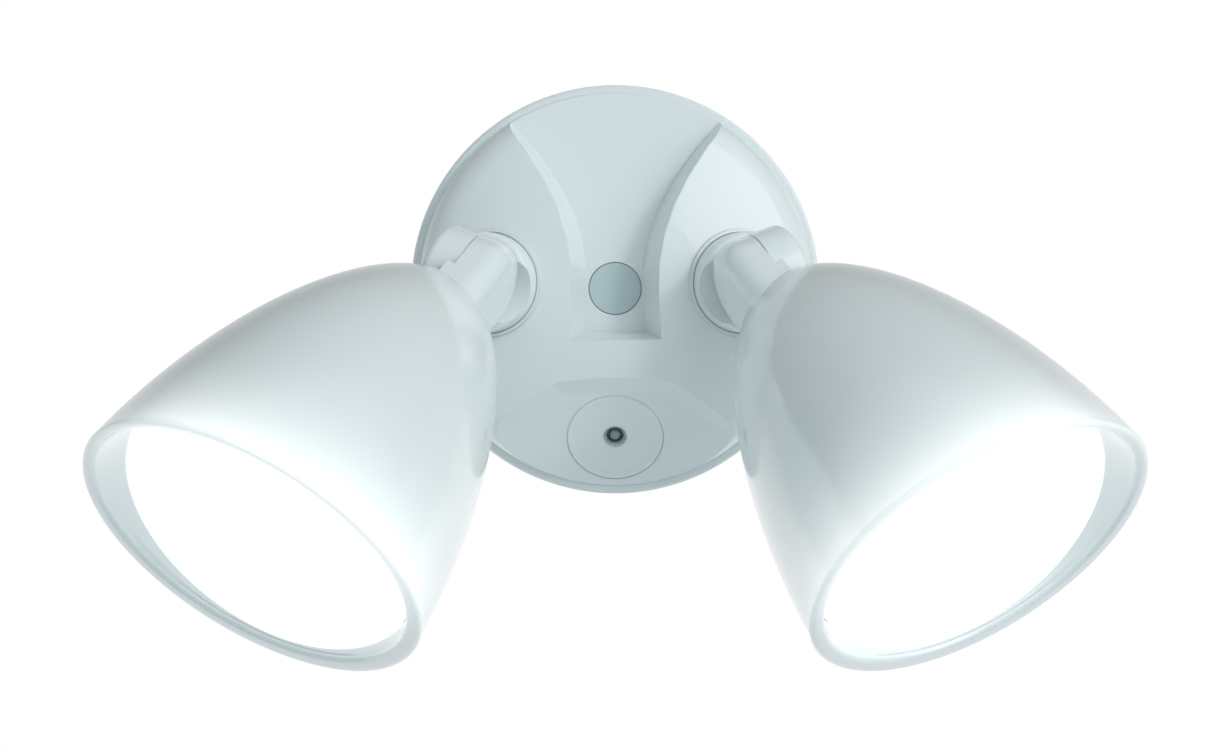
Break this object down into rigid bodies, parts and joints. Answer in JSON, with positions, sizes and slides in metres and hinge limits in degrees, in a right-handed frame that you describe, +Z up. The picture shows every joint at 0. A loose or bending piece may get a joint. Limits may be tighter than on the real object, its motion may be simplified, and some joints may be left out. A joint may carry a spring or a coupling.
{
  "type": "outdoor security light",
  "caption": "Round wall canopy with a dusk sensor in a sloped face and bullet shaped flood heads on swivel and tilt knuckles, with glowing lenses behind slanted hoods.",
  "frame": {"origin": "centre of the canopy's back face, in the wall's plane", "axes": "+X to the right as seen from in front, +Z up, the canopy faces along -Y and the wall is towards +Y"},
  "size_m": [0.2928, 0.165, 0.1734],
  "materials": {
    "white_paint": "glossy white powder coat",
    "rubber": "matt black moulded seal",
    "foam": "pale closed cell foam",
    "zinc_steel": "zinc plated",
    "green_screw": "green grounding screw",
    "grey_plug": "grey polymer plug",
    "black_plastic": "black moulded",
    "eye_resin": "dark clear resin",
    "frosted_lens": "frosted, lit from behind",
    "reflector_white": "white gloss",
    "plate_metal": "bare sheet",
    "board_white": "white solder mask",
    "chip_yellow": "yellow phosphor",
    "driver_grey": "potted can"
  },
  "bodies": {
    "canopy_assembly": {"canopy": "white_paint", "canopy_gasket": "foam", "crossbar": "zinc_steel", "ground_screw": "green_screw", "centre_screw": "zinc_steel", "centre_seal": "rubber", "centre_plug": "grey_plug", "sensor_cover": "white_paint", "sensor_eye": "eye_resin", "sensor_body": "black_plastic", "sensor_gasket": "rubber", "sensor_nut": "black_plastic"},
    "left_arm": {"arm_left": "white_paint", "arm_seal_left": "rubber", "arm_washer_left": "zinc_steel", "arm_nut_left": "zinc_steel"},
    "left_head": {"tilt_screw_left": "zinc_steel", "tilt_washer_left": "zinc_steel", "tilt_seal_left": "rubber", "head_shell_left": "white_paint", "lens_left": "frosted_lens", "lens_gasket_left": "rubber", "reflector_left": "reflector_white", "heat_plate_left": "plate_metal", "plate_screws_left": "zinc_steel", "light_board_left": "board_white", "light_chips_left": "chip_yellow", "board_screws_left": "zinc_steel", "driver_left": "driver_grey"},
    "right_arm": {"arm_right": "white_paint", "arm_seal_right": "rubber", "arm_washer_right": "zinc_steel", "arm_nut_right": "zinc_steel"},
    "right_head": {"tilt_screw_right": "zinc_steel", "tilt_washer_right": "zinc_steel", "tilt_seal_right": "rubber", "head_shell_right": "white_paint", "lens_right": "frosted_lens", "lens_gasket_right": "rubber", "reflector_right": "reflector_white", "heat_plate_right": "plate_metal", "plate_screws_right": "zinc_steel", "light_board_right": "board_white", "light_chips_right": "chip_yellow", "board_screws_right": "zinc_steel", "driver_right": "driver_grey"}
  },
  "joints": [
    {"name": "left_swivel", "type": "hinge", "parent": "canopy_assembly", "child": "left_arm", "pos_m": [-0.03855, -0.02279, 0.0014], "axis": [0.275, 0.9614, 0], "range_deg": [-20, 160]},
    {"name": "left_tilt", "type": "hinge", "parent": "left_arm", "child": "left_head", "pos_m": [-0.04405, -0.04202, 0.0014], "axis": [0.9035, -0.2584, -0.342], "range_deg": [-100, 22]},
    {"name": "right_swivel", "type": "hinge", "parent": "canopy_assembly", "child": "right_arm", "pos_m": [0.03855, -0.02279, 0.0014], "axis": [0.275, -0.9614, 0], "range_deg": [-20, 160]},
    {"name": "right_tilt", "type": "hinge", "parent": "right_arm", "child": "right_head", "pos_m": [0.04405, -0.04202, 0.0014], "axis": [0.9035, 0.2584, 0.342], "range_deg": [-100, 22]}
  ]
}
